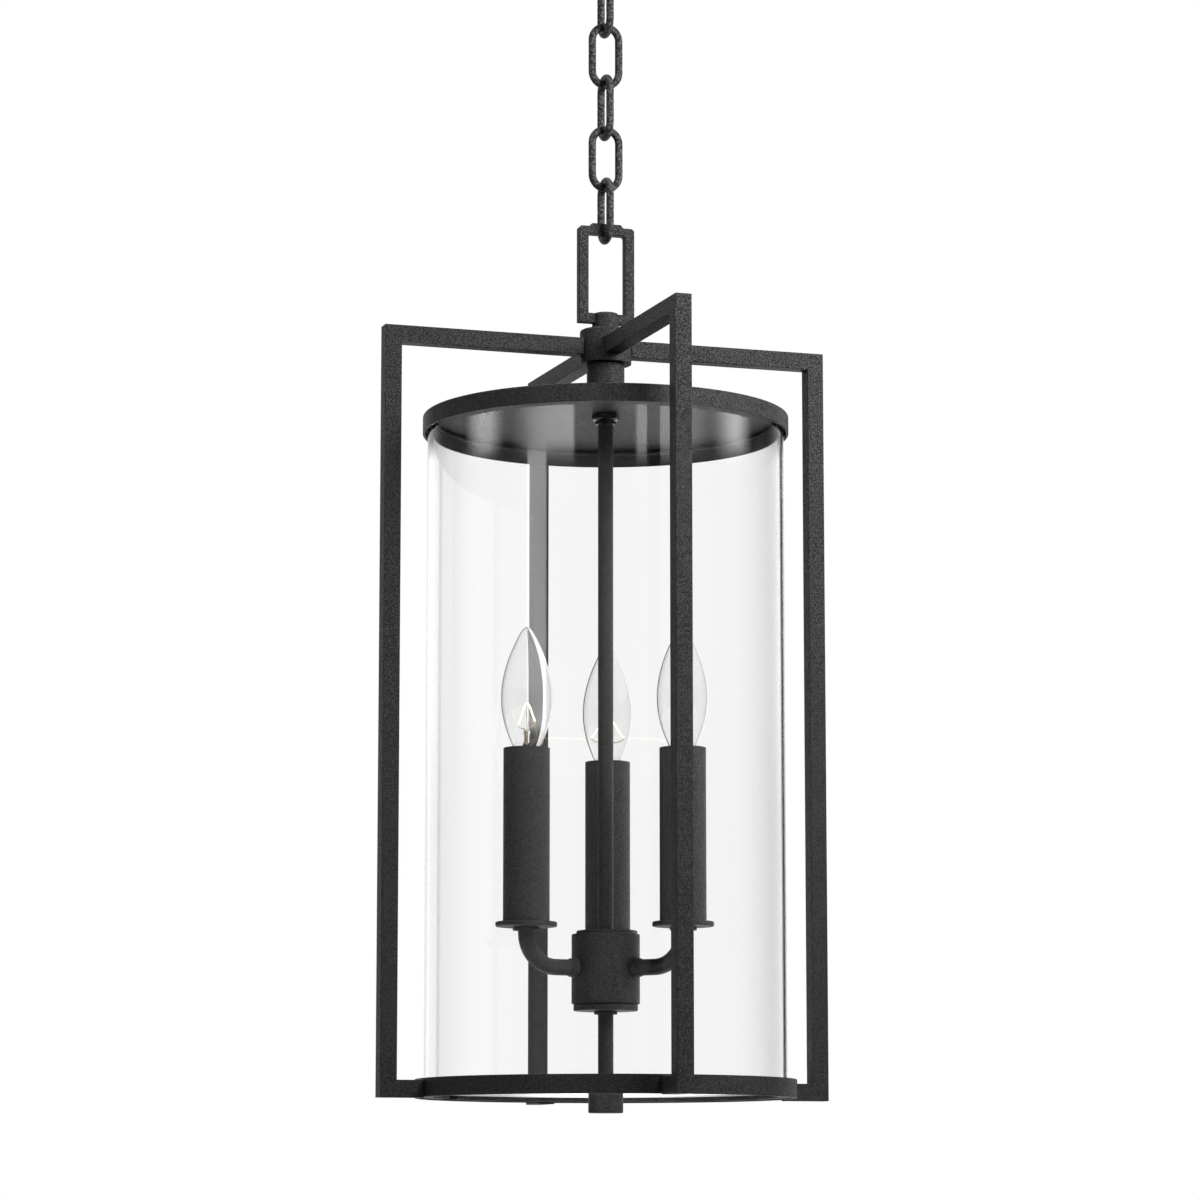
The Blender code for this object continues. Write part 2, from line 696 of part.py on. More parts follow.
def make_candle(number, turn):
    """One candle: its arm, flange, collar, bobeche, sleeve, socket and bulb."""
    start = CLUSTER_RADIUS + GAP
    bend_at = CANDLE_CIRCLE - ARM_BEND
    rise = arc((bend_at, ARM_HEIGHT + ARM_BEND), ARM_BEND, -90, 0, 8)
    path = [(start, 0, ARM_HEIGHT)] + [(x, 0, height) for x, height in rise]
    path.append((CANDLE_CIRCLE, 0, ARM_TOP))
    spin = (0, 0, turn)
    wire(f"candle_arm_{number}", path, ARM_RADIUS, black_coat, location=(0, 0, level(0)), rotation=spin)

    around = Vector((math.cos(turn), math.sin(turn), 0))
    bore = ARM_RADIUS + BORE_CLEARANCE
    flange = [
        (bore, FLANGE_LENGTH),
        (bore + FLANGE_WALL, FLANGE_LENGTH),
        (bore + FLANGE_FLARE, 0),
        (bore, 0),
    ]
    turned(
        f"arm_flange_{number}",
        flange,
        black_coat,
        location=around * (start * MM) + Vector((0, 0, level(ARM_HEIGHT))),
        rotation=(Matrix.Rotation(turn, 3, "Z") @ Matrix.Rotation(UPRIGHT, 3, "Y")).to_euler(),
    )

    stand = around * (CANDLE_CIRCLE * MM) + Vector((0, 0, level(0)))
    collar_top = BOBECHE_BOTTOM - GAP
    collar_radius, collar_height = BOBECHE_COLLAR
    collar = [
        (bore, collar_top),
        (collar_radius, collar_top),
        (collar_radius, collar_top - collar_height),
        (bore, collar_top - collar_height),
    ]
    turned(f"bobeche_collar_{number}", collar, black_coat, location=stand)
    bobeche = [
        (bore, BOBECHE_TOP),
        (BOBECHE_RADIUS - BOBECHE_EDGE, BOBECHE_TOP),
        (BOBECHE_RADIUS, BOBECHE_TOP - BOBECHE_EDGE),
        (BOBECHE_RADIUS, BOBECHE_BOTTOM + BOBECHE_EDGE),
        (BOBECHE_RADIUS - BOBECHE_EDGE, BOBECHE_BOTTOM),
        (bore, BOBECHE_BOTTOM),
    ]
    turned(f"bobeche_{number}", bobeche, black_coat, steps=SMALL_STEPS + 4, location=stand)
    sleeve = [
        (SLEEVE_RADIUS - SLEEVE_WALL, SLEEVE_TOP),
        (SLEEVE_RADIUS, SLEEVE_TOP),
        (SLEEVE_RADIUS, BOBECHE_TOP + GAP),
        (SLEEVE_RADIUS - SLEEVE_WALL, BOBECHE_TOP + GAP),
    ]
    turned(f"candle_sleeve_{number}", sleeve, black_coat, steps=SMALL_STEPS + 4, location=stand)
    well = SLEEVE_TOP - SOCKET_WELL
    socket = [
        (0, well),
        (SOCKET_BORE, well),
        (SOCKET_BORE, SOCKET_TOP),
        (SOCKET_RADIUS, SOCKET_TOP),
        (SOCKET_RADIUS, well - SOCKET_BODY),
        (SOCKET_FOOT_RADIUS, well - SOCKET_FOOT),
        (SOCKET_FOOT_RADIUS, ARM_TOP + GAP),
        (0, ARM_TOP + GAP),
    ]
    turned(f"socket_{number}", socket, white_ceramic, steps=16, location=stand)

    bulb_stand = around * (CANDLE_CIRCLE * MM) + Vector((0, 0, level(SLEEVE_TOP)))
    base_top = -BULB_BASE_DROP
    base = [
        (0, base_top),
        (BULB_BASE_RADIUS, base_top),
        (BULB_BASE_RADIUS, base_top - BULB_BASE_SHELL),
        (BULB_CONE_END, base_top - BULB_BASE_CONE),
        (BULB_CONTACT, base_top - BULB_BASE_LENGTH),
        (0, base_top - BULB_BASE_LENGTH),
    ]
    turned(f"bulb_base_{number}", base, brass, steps=16, location=bulb_stand)
    turned(f"bulb_glass_{number}", bulb_outline(), bulb_clear, steps=SMALL_STEPS, location=bulb_stand)
    stem = [
        (0, 27.0),
        (1.2, 27.0),
        (1.2, 22.0),
        (2.6, 20.0),
        (2.6, 4.0),
        (4.4, -3.6),
        (0, -3.6),
    ]
    turned(f"filament_stem_{number}", stem, bulb_clear, steps=12, location=bulb_stand)


make_ceiling_set()
make_chain()
make_hanger()
make_frame()
make_glazing()
make_centre()
for arm in range(ARM_COUNT):
    make_candle(arm + 1, math.radians(FIRST_ARM_DEGREES + arm * 360 / ARM_COUNT))
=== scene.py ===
"""Looks of a hanging lantern: a frame of square bars round a glass cylinder, three candles and a chain.

Metres, +Z up. Each piece is made where its node stands, its mesh in the frame's own coordinates, so
object coordinates in a finish are places on the lantern. MM turns a maker's millimetres into metres.
"""

import json
import math

import bmesh
import bpy
from mathutils import Matrix, Vector


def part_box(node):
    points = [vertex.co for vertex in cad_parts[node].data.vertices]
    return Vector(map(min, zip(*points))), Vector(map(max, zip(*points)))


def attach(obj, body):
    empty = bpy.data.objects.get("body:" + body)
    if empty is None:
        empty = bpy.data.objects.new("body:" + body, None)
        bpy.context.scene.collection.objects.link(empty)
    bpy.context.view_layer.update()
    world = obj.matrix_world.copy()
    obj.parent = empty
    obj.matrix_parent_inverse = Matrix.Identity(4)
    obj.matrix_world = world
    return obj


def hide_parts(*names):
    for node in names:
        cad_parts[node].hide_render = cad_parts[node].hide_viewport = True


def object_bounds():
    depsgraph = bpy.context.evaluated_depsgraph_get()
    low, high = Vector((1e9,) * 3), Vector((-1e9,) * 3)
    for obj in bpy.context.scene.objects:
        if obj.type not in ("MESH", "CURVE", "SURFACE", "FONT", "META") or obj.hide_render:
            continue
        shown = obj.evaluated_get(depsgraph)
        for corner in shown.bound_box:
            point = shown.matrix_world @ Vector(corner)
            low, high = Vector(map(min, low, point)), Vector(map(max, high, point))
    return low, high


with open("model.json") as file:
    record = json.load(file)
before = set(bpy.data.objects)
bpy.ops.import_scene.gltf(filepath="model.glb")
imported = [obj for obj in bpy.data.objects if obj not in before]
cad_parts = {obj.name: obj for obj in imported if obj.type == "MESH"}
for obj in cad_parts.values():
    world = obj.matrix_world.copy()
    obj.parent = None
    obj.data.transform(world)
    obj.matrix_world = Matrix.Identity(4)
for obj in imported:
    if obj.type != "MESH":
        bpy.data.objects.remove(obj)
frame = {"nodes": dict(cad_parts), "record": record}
cad_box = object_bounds()

MM = 0.001
TURN = 2 * math.pi
TINY = 1e-6
SCENE = bpy.context.scene
RECORD = frame["record"]
BODY_OF = {node: body for body, nodes in RECORD["behaviour"]["bodies"].items() for node in nodes}
CANDLES = (1, 2, 3)
LINKS = (1, 2, 3, 4, 5)

# A worked corner takes at most this share of the side before and after it, and is drawn in so many steps.
EASE_LIMIT = 0.48
EASE_STEPS = 4

# Stock that more than one piece shares. The rod is the threaded core of the lantern.
ROD_BORE = 5.1 * MM
TUBE_BORE = 3.2 * MM
LINK_WIRE = 2.4 * MM
LOOP_WIRE = 2.8 * MM
ARM_STOCK = 5 * MM
THREAD_DEPTH = 0.35 * MM

# The groove of a link's butt joint: how far from its middle, and how deep, in millimetres.
LINK_SEAM = ((0.7, 0.0), (0.34, 0.06), (0.16, 0.5), (0.0, 0.62), (-0.16, 0.5), (-0.34, 0.06), (-0.7, 0.0))

# A torpedo bulb from its tip down: its radius, and its level over the sleeve's mouth, in millimetres.
BULB_HEIGHT = 74.8
BULB_OUTLINE = (
    (0, 74.8), (1.1, 74.5), (2.3, 73.5), (4.4, 70.6), (7.4, 64.6), (10.8, 56.6), (13.6, 47.6),
    (15.3, 38.6), (15.75, 30.7), (15.2, 22.5), (13.4, 14.0), (10.6, 6.0), (8.1, 0.0), (6.6, -3.6),
)

# Inside a bulb, in millimetres over the sleeve's mouth: the glass stem with how much each corner is
# worked round, a lead wire from the stem out to the filament, and the wire that holds the filament up.
STEM_OUTLINE = (
    (0, 11.5, 0), (1.5, 11.5, 0.6), (2.2, 9.5, 0.6), (1.6, 7.5, 0.8),
    (1.7, 4.0, 1.0), (4.3, -3.0, 0.8), (4.3, -3.5, 0.1), (0, -3.5, 0),
)
LEAD_PATH = ((0.9, -2.0), (0.8, 5.0), (0.9, 9.5), (3.0, 12.0), (7.6, 13.0), (10.2, 14.6), (10.6, 15.6))
POST_PATH = ((0, 9.0), (0.2, 15.0), (-0.1, 22.0), (0.3, 27.4))

# The filament: half its span, the level of its feet and the rise of its arch, in millimetres, the angle
# from the candle's arm to its plane, the turns of its coil and the steps that draw each turn.
FILAMENT_SPAN = 10.6
FILAMENT_FOOT = 15.6
FILAMENT_RISE = 12.0
FILAMENT_TURN = math.radians(92)
COIL_TURNS = 52
COIL_STEPS = 8
COIL_RADIUS = 0.42 * MM

# The camera: how it is turned about the lantern, how far off and how low it stands, and its lens.
CAMERA_TURN = math.radians(-18.63)
CAMERA_BACK = Vector((math.sin(CAMERA_TURN), -math.cos(CAMERA_TURN), 0))
CAMERA_RIGHT = Vector((math.cos(CAMERA_TURN), math.sin(CAMERA_TURN), 0))
CAMERA_FAR = 2.5447
CAMERA_LEFT = 0.0035
CAMERA_LEVEL = -0.84685
CAMERA_PITCH = math.radians(8.365)
CAMERA_LENS = 124.05
CAMERA_SENSOR = 36

# Light cards in the surroundings, by the angle from the camera's side: where each begins and ends, its
# softness at either end, in degrees, and its strength.
LEFT_CARDS = ((-96, -76, 10, 8, 2.8), (-52, -20.5, 13, 1.5, 2.7))
RIGHT_CARDS = ((20, 27.5, 2, 2, 2.2), (35, 60, 2, 20, 2.0), (84, 100, 14, 12, 4.0))
STRIP_CARD = (-52, -39, 1, 1, 1.0)

# How strongly the glass mirrors the cards, a narrow strip low on its left, and the studio below and above.
GLASS_CARDS = 3.1
GLASS_STRIP = 10.0
GLASS_LOW = 0.2
GLASS_UP = 0.35

# What the black pieces outside the glass mirror: the cards, the wall behind, the room and its ceiling.
OUT_CARDS = 0.14
OUT_BACK = 0.75
OUT_BASE = 0.04
OUT_TOP = 0.4

# What the pieces inside the glass mirror: the room's right, its left and the wall behind.
IN_RIGHT = 0.9
IN_LEFT = 0.08
IN_BACK = 0.3

# What lights matt surfaces from all round.
SOFT_LIGHT = 0.3

# Soft boxes: name, width and height in metres, watts, and degrees to the right of the camera.
SOFT_BOXES = (
    ("soft_box_right", (0.4, 0.4), 30, 50),
    ("soft_box_left", (0.3, 0.4), 5, -75),
)
SOFT_BOX_FAR = 0.7
SOFT_BOX_RISE = 0.25
SOFT_BOX_AIM = 0.12

FLOOR_DROP = 0.75
FLOOR_HALF = 9.0


# ---------------------------------------------------------------- finishes


class Signal:
    """A value inside a finish. Arithmetic on it adds the Math nodes that it needs."""

    def __init__(self, finish, socket):
        self.finish = finish
        self.socket = socket

    def combine(self, operation, first, second):
        return self.finish.node("ShaderNodeMath", {"operation": operation}, {0: first, 1: second})

    def __add__(self, other):
        return self.combine("ADD", self, other)

    def __radd__(self, other):
        return self.combine("ADD", other, self)

    def __sub__(self, other):
        return self.combine("SUBTRACT", self, other)

    def __rsub__(self, other):
        return self.combine("SUBTRACT", other, self)

    def __mul__(self, other):
        return self.combine("MULTIPLY", self, other)

    def __rmul__(self, other):
        return self.combine("MULTIPLY", other, self)

    def above(self, low, high):
        """0 under the low value, 1 over the high one, and a smooth step between."""
        inputs = {"Value": self, "From Min": low, "From Max": high}
        return self.finish.node("ShaderNodeMapRange", {"interpolation_type": "SMOOTHSTEP"}, inputs)

    def past(self, count):
        """1 when a whole number is more than the count, else 0."""
        return self.above(count + 0.4, count + 0.6)


class Finish:
    """A material, or the surroundings, whose nodes are added one at a time."""

    def __init__(self, name, kind=None):
        self.material = (bpy.data.materials if kind is None else kind).new(name)
        self.material.use_nodes = True
        self.tree = self.material.node_tree
        self.tree.nodes.clear()

    def node(self, kind, settings=None, inputs=None, output=0):
        """Adds a node: its settings first, then the values or links of its sockets."""
        made = self.tree.nodes.new(kind)
        for name, value in (settings or {}).items():
            setattr(made, name, value)
        for name, value in (inputs or {}).items():
            if isinstance(value, Signal):
                self.tree.links.new(value.socket, made.inputs[name])
            else:
                made.inputs[name].default_value = value
        return Signal(self, made.outputs[output]) if made.outputs else None

    def place(self):
        return self.node("ShaderNodeTexCoord", output="Object")

    def noise(self, size, detail=2.0, where=None):
        """Cloudy noise from 0 to 1, its lumps about one size across, in millimetres."""
        inputs = {
            "Vector": where or self.place(),
            "Scale": 1.0 / (size * MM),
            "Detail": detail,
            "Roughness": 0.5,
        }
        return self.node("ShaderNodeTexNoise", inputs=inputs)

    def grains(self, size):
        """Rounded grains: 0 in the middle of a grain, rising towards its edge."""
        inputs = {"Vector": self.place(), "Scale": 1.0 / (size * MM), "Smoothness": 0.35}
        return self.node("ShaderNodeTexVoronoi", {"feature": "SMOOTH_F1"}, inputs)

    def blend(self, factor, dark, light):
        """A colour between two, by a factor from 0 to 1."""
        inputs = {0: factor, 6: (*dark, 1.0), 7: (*light, 1.0)}
        return self.node("ShaderNodeMix", {"data_type": "RGBA"}, inputs, output=2)

    def bump(self, height, depth, strength):
        """A relief from a height of 0 to 1, its depth in millimetres."""
        inputs = {"Height": height, "Distance": depth * MM, "Strength": strength}
        return self.node("ShaderNodeBump", inputs=inputs, output="Normal")

    def principled(self, inputs):
        return self.node("ShaderNodeBsdfPrincipled", inputs=inputs)

    def finished(self, shader, output="ShaderNodeOutputMaterial"):
        self.node(output, inputs={"Surface": shader})
        return self.material


def sand_black(name, dark, light, grain, depth, gloss):
    """Black powder coat with a fine sand texture: pebbly, with a satin top on each grain, each grain top also
    painted lighter as a painted glint.
    """
    finish = Finish(name)
    pebbles = finish.grains(grain)
    grit = finish.noise(grain * 0.7, detail=3.0)
    cloud = finish.noise(grain * 26)
    # Grain tops: glossier, and painted lighter in colour as a painted glint on each grain.
    glint_and_satin_tops = (grit * 0.6 + (1.0 - pebbles) * 0.4).above(0.42, 0.64)
    height = (1.0 - pebbles) * 0.6 + grit * 0.5
    inputs = {
        # Colour: mostly the painted glint on the grain tops, with a little cloudy tone at random.
        "Base Color": finish.blend(glint_and_satin_tops * 0.85 + cloud * 0.15, dark, light),
        "Roughness": (gloss + 0.18) - glint_and_satin_tops * 0.2 + cloud * 0.06,
        "Normal": finish.bump(height, depth, strength=0.7),
    }
    return finish.finished(finish.principled(inputs))


def clear_glass(name, tint, waviness):
    """Clear glass with a very slight wave. It lets light straight through to what stands behind it."""
    finish = Finish(name)
    wave = finish.noise(38.0, detail=1.0)
    inputs = {
        "Base Color": (*tint, 1.0),
        "Roughness": 0.0,
        "IOR": 1.38,
        "Transmission Weight": 1.0,
        "Normal": finish.bump(wave, waviness, strength=0.3),
    }
    body = finish.principled(inputs)
    passing = finish.node("ShaderNodeBsdfTransparent", inputs={"Color": (*tint, 1.0)})
    lamp = finish.node("ShaderNodeLightPath", output="Is Shadow Ray")
    return finish.finished(finish.node("ShaderNodeMixShader", inputs={0: lamp, 1: body, 2: passing}))


def moulded_seal(name, lump, dark, light, roughness, spread):
    """Moulded silicone or rubber, slightly mottled."""
    finish = Finish(name)
    cloud = finish.noise(lump)
    inputs = {
        "Base Color": finish.blend(cloud, dark, light),
        "Roughness": roughness + cloud * spread,
        "Normal": finish.bump(cloud, 0.05, strength=0.4),
    }
    return finish.finished(finish.principled(inputs))


def turned_metal(name, dark, light, roughness, stretch):
    """Plated or rolled metal with fine turning marks, and a duller film in patches."""
    finish = Finish(name)
    scale = (1.0, 1.0, stretch)
    lined = finish.node("ShaderNodeMapping", inputs={"Vector": finish.place(), "Scale": scale})
    marks = finish.noise(1.1, detail=3.0, where=lined)
    film = finish.noise(5.0)
    inputs = {
        "Base Color": finish.blend(film.above(0.3, 0.7), dark, light),
        "Metallic": 1.0,
        "Roughness": roughness + marks * 0.16 + film * 0.08,
        "Normal": finish.bump(marks, 0.03, strength=0.35),
    }
    return finish.finished(finish.principled(inputs))


def fired_ceramic():
    """Off-white moulded socket body with faint speckle and a light glaze."""
    finish = Finish("fired_ceramic")
    glint_and_satin_tops = finish.noise(0.9).above(0.62, 0.72)
    cloud = finish.noise(9.0)
    inputs = {
        "Base Color": finish.blend(glint_and_satin_tops * 0.35 + cloud * 0.4, (0.80, 0.78, 0.73), (0.66, 0.62, 0.55)),
        "Roughness": 0.3 + cloud * 0.16,
        "Normal": finish.bump(cloud, 0.05, strength=0.25),
    }
    return finish.finished(finish.principled(inputs))


def hot_filament():
    """Tungsten wire, warm where it glows faintly."""
    finish = Finish("warm_filament")
    along = finish.noise(1.6, detail=1.0)
    inputs = {
        "Base Color": finish.blend(along, (0.55, 0.40, 0.22), (0.90, 0.74, 0.48)),
        "Metallic": 0.6,
        "Roughness": 0.25 + along * 0.2,
        "Emission Color": finish.blend(along, (1.0, 0.62, 0.26), (1.0, 0.86, 0.62)),
        "Emission Strength": 2.6,
    }
    return finish.finished(finish.principled(inputs))


def studio_floor():
    """Plain pale studio floor, lit evenly by a little light of its own."""
    finish = Finish("pale_floor")
    cloud = finish.noise(260.0)
    inputs = {
        "Base Color": finish.blend(cloud, (0.80, 0.80, 0.80), (0.84, 0.84, 0.84)),
        "Roughness": 0.6 + cloud * 0.1,
        "Emission Color": (1.0, 1.0, 1.0, 1.0),
        "Emission Strength": 0.58,
    }
    return finish.finished(finish.principled(inputs))


# In both coats the light colour goes on the grain tops as a painted glint on each grain; the chain's is
# brighter, a stronger painted glint.
SAND_BLACK = sand_black(
    "sand_black_coat", (0.005, 0.005, 0.0051), (0.027, 0.027, 0.0275), grain=0.95, depth=0.16, gloss=0.40
)
CHAIN_BLACK = sand_black(
    "chain_black_coat", (0.006, 0.006, 0.0062), (0.040, 0.040, 0.041), grain=1.7, depth=0.25, gloss=0.36
)
TUBE_GLASS = clear_glass("clear_tube_glass", (0.994, 0.997, 0.996), waviness=0.05)
BULB_GLASS = clear_glass("clear_bulb_glass", (0.975, 0.975, 0.972), waviness=0.03)
SILICONE = moulded_seal(
    "milky_silicone", 2.2, (0.70, 0.71, 0.70), (0.84, 0.85, 0.84), roughness=0.42, spread=0.16
)
RUBBER = moulded_seal(
    "matt_black_rubber", 3.0, (0.012, 0.012, 0.012), (0.024, 0.024, 0.024), roughness=0.62, spread=0.14
)
ZINC = turned_metal("zinc_plate", (0.20, 0.20, 0.20), (0.38, 0.38, 0.375), roughness=0.22, stretch=14.0)
BRASS = turned_metal("rolled_brass", (0.58, 0.38, 0.14), (0.80, 0.58, 0.26), roughness=0.20, stretch=10.0)
# Bright steel for the two nuts, its colour darkened as painted shade: a painted dark reflection of the dark
# cap interior that the nuts mirror.
SHADE_DARKENED_STEEL = turned_metal(
    "shade_darkened_steel", (0.05, 0.05, 0.05), (0.13, 0.13, 0.13), roughness=0.10, stretch=14.0
)
LEAD_WIRE = turned_metal(
    "gilt_lead_wire", (0.70, 0.48, 0.20), (0.92, 0.76, 0.46), roughness=0.12, stretch=6.0
)
CERAMIC = fired_ceramic()
FILAMENT = hot_filament()
FLOOR = studio_floor()


# ---------------------------------------------------------------- shapes


def extent(node):
    """A node's middle on the floor plan, half its width, and its lowest and highest level."""
    low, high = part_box(node)
    middle = (low + high) / 2
    return Vector((middle.x, middle.y, 0)), (high.x - low.x) / 2, low.z, high.z


def eased(outline, closed=True):
    """An outline with each corner that carries a third value worked round by that much."""
    points = []
    count = len(outline)
    for index, corner in enumerate(outline):
        here = Vector(corner[:2])
        reach = corner[2] if len(corner) > 2 else 0
        inner = closed or 0 < index < count - 1
        if not reach or not inner:
            points.append(here)
            continue
        before = Vector(outline[index - 1][:2])
        after = Vector(outline[(index + 1) % count][:2])
        start = here + (before - here) * min(reach / (before - here).length, EASE_LIMIT)
        end = here + (after - here) * min(reach / (after - here).length, EASE_LIMIT)
        for step in range(EASE_STEPS + 1):
            share = step / EASE_STEPS
            first = start.lerp(here, share)
            points.append(first.lerp(here.lerp(end, share), share))
    return points


def smooth_through(points, parts=4):
    """A smooth curve through points, as Catmull and Rom draw it."""
    padded = [2 * points[0] - points[1], *points, 2 * points[-1] - points[-2]]
    made = []
    for a, b, c, d in zip(padded, padded[1:], padded[2:], padded[3:]):
        for part in range(parts):
            t = part / parts
            bend = (2 * a - 5 * b + 4 * c - d) * t * t + (3 * b - a - 3 * c + d) * t**3
            made.append((2 * b + (c - a) * t + bend) / 2)
    return made + [points[-1]]


def settle(shape, name, node, material, smooth=32):
    """Turns a bmesh into a piece that stands for its node and rides on the node's body."""
    bmesh.ops.recalc_face_normals(shape, faces=shape.faces)
    mesh = bpy.data.meshes.new(name)
    shape.to_mesh(mesh)
    shape.free()
    mesh.shade_smooth()
    mesh.set_sharp_from_angle(angle=math.radians(smooth))
    mesh.materials.append(material)
    piece = bpy.data.objects.new(name, mesh)
    SCENE.collection.objects.link(piece)
    level = piece.modifiers.new("Flat faces stay flat", "WEIGHTED_NORMAL")
    level.keep_sharp = True
    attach(piece, BODY_OF[node])
    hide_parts(node)


def loft(shape, rings, closed):
    """Skins rings of equal length, or a single vertex where a ring has shrunk to a point."""
    pairs = list(zip(rings, rings[1:]))
    if closed:
        pairs.append((rings[-1], rings[0]))
    for lower, upper in pairs:
        count = max(len(lower), len(upper))
        if count == 1:
            continue
        for side in range(count):
            after = (side + 1) % count
            if len(lower) == 1:
                corners = (lower[0], upper[after], upper[side])
            elif len(upper) == 1:
                corners = (lower[side], lower[after], upper[0])
            else:
                corners = (lower[side], lower[after], upper[after], upper[side])
            shape.faces.new(corners)


def lathe(outline, sides, ripple=None):
    """A bmesh turned about Z from an outline of (radius, level) points. Ripple may vary the radius."""
    shape = bmesh.new()
    rings = []
    for radius, level in outline:
        if radius < TINY:
            rings.append([shape.verts.new((0, 0, level))])
            continue
        ring = []
        for side in range(sides):
            angle = TURN * side / sides
            reach = ripple(angle, radius) if ripple else radius
            ring.append(shape.verts.new((reach * math.cos(angle), reach * math.sin(angle), level)))
        rings.append(ring)
    loft(shape, rings, closed=outline[0][0] > TINY or outline[-1][0] > TINY)
    return shape


def turned(node, outline, material, sides=96, ripple=None, name=None, at=None):
    """A lathe piece in its node's place, or at a given one."""
    shape = lathe(outline, sides, ripple)
    middle = extent(node)[0] if at is None else at
    bmesh.ops.translate(shape, verts=shape.verts, vec=middle)
    settle(shape, name or f"turned_{node}", node, material)


def tube_outline(inner, outer, low, high, edge, inner_edge=None):
    """The section of a round piece with a bore, its edges broken."""
    inner_edge = edge if inner_edge is None else inner_edge
    corners = [
        (inner, high, inner_edge),
        (outer, high, edge),
        (outer, low, edge),
        (inner, low, inner_edge),
    ]
    return eased(corners)


def threaded(bore, radius, low, high, pitch):
    """The section of a threaded rod, as rings of a rounded thread."""
    rings_per_turn = 6
    steps = int((high - low) / (pitch / rings_per_turn))
    outline = [(bore, high)]
    for step in range(steps + 1):
        level = high + (low - high) * step / steps
        wave = 0.5 + 0.5 * math.cos(TURN * (high - level) / pitch)
        outline.append((radius - THREAD_DEPTH * wave, level))
    return outline + [(bore, low)]


def sweep(path, radii, across, closed, sides):
    """A bmesh of round stock along a path that lies in one plane; across is that plane's normal."""
    shape = bmesh.new()
    rings = []
    count = len(path)
    for index, (spot, radius) in enumerate(zip(path, radii)):
        before = path[index - 1] if closed or index else spot
        after = path[(index + 1) % count] if closed or index < count - 1 else spot
        along = (after - before).normalized()
        outward = along.cross(across).normalized()
        ring = []
        for side in range(sides):
            angle = TURN * side / sides
            reach = outward * math.cos(angle) + across * math.sin(angle)
            ring.append(shape.verts.new(spot + reach * radius))
        rings.append(ring)
    loft(shape, rings, closed)
    if not closed:
        shape.faces.new(rings[0])
        shape.faces.new(rings[-1][::-1])
    return shape


def bent(node, path, radii, material, across, closed=False, sides=24, name=None):
    """Round stock along a path, in its node's place. Its radii may be one for all of the path."""
    if isinstance(radii, float):
        radii = [radii] * len(path)
    shape = sweep(path, radii, Vector(across), closed, sides)
    settle(shape, name or f"bent_{node}", node, material)


def bow(centre, radius, start, end, steps):
    """Points of an arc, in degrees, each a pair."""
    turns = [math.radians(start + (end - start) * step / steps) for step in range(steps + 1)]
    return [(centre[0] + radius * math.cos(t), centre[1] + radius * math.sin(t)) for t in turns]


def cut_plate(node, outlines, thickness, edge, material, matrix):
    """Flat or square stock cut to an outline, its edges worked round by edge."""
    curve = bpy.data.curves.new(node, "CURVE")
    curve.dimensions = "2D"
    curve.fill_mode = "BOTH"
    curve.extrude = thickness / 2 - edge
    curve.bevel_depth = edge
    curve.bevel_resolution = 2
    curve.offset = -edge
    for outline in outlines:
        spline = curve.splines.new("POLY")
        spline.points.add(len(outline) - 1)
        for spot, (x, y) in zip(spline.points, outline):
            spot.co = (x, y, 0, 1)
        spline.use_cyclic_u = True
    holder = bpy.data.objects.new(node, curve)
    SCENE.collection.objects.link(holder)
    bpy.context.view_layer.update()
    mesh = bpy.data.meshes.new_from_object(holder.evaluated_get(bpy.context.evaluated_depsgraph_get()))
    bpy.data.objects.remove(holder, do_unlink=True)
    shape = bmesh.new()
    shape.from_mesh(mesh)
    bmesh.ops.remove_doubles(shape, verts=shape.verts, dist=TINY)
    shape.transform(matrix)
    settle(shape, f"cut_{node}", node, material)


def stood_up(turn=0.0):
    """Stands a plate drawn flat up on the Z axis, then turns it."""
    return Matrix.Rotation(turn, 4, "Z") @ Matrix.Rotation(math.pi / 2, 4, "X")


# ---------------------------------------------------------------- ceiling set and chain


def make_canopy():
    """Spun canopy of one sheet: a flat middle, a quarter-round shoulder and a straight rim."""
    _, radius, low, high = extent("ceiling_canopy")
    sheet = 1.2 * MM
    flat = 14 * MM
    rim = 5 * MM
    steps = 24
    outside = [(radius - 0.2 * MM, high), (radius, high - 0.4 * MM)]
    inside = [(radius - sheet, high)]
    for step in range(steps + 1):
        angle = math.pi / 2 * step / steps
        across = flat + (radius - flat) * math.cos(angle)
        down = high - rim - (high - low - rim) * math.sin(angle)
        outside.append((across, down))
        inside.append((across - sheet * math.cos(angle), down + sheet * math.sin(angle)))
    outline = outside + [(ROD_BORE, low), (ROD_BORE, low + sheet)] + inside[::-1]
    turned("ceiling_canopy", outline, SAND_BLACK, sides=128)


def make_collar_nut():
    """Ring nut with straight knurls round its rim."""
    _, radius, low, high = extent("canopy_collar_nut")
    knurls = 36
    depth = 0.35 * MM
    plain = radius - 0.3 * MM

    def knurl(angle, reach):
        if reach < plain:
            return reach
        return reach - depth * (0.5 + 0.5 * math.cos(knurls * angle))

    edge = 0.9 * MM
    outline = eased([
        (ROD_BORE, high),
        (radius - edge, high, edge / 2),
        (radius, high - edge),
        (radius, low + edge),
        (radius - edge, low, edge / 2),
        (ROD_BORE, low),
    ])
    turned("canopy_collar_nut", outline, SAND_BLACK, sides=knurls * 8, ripple=knurl)


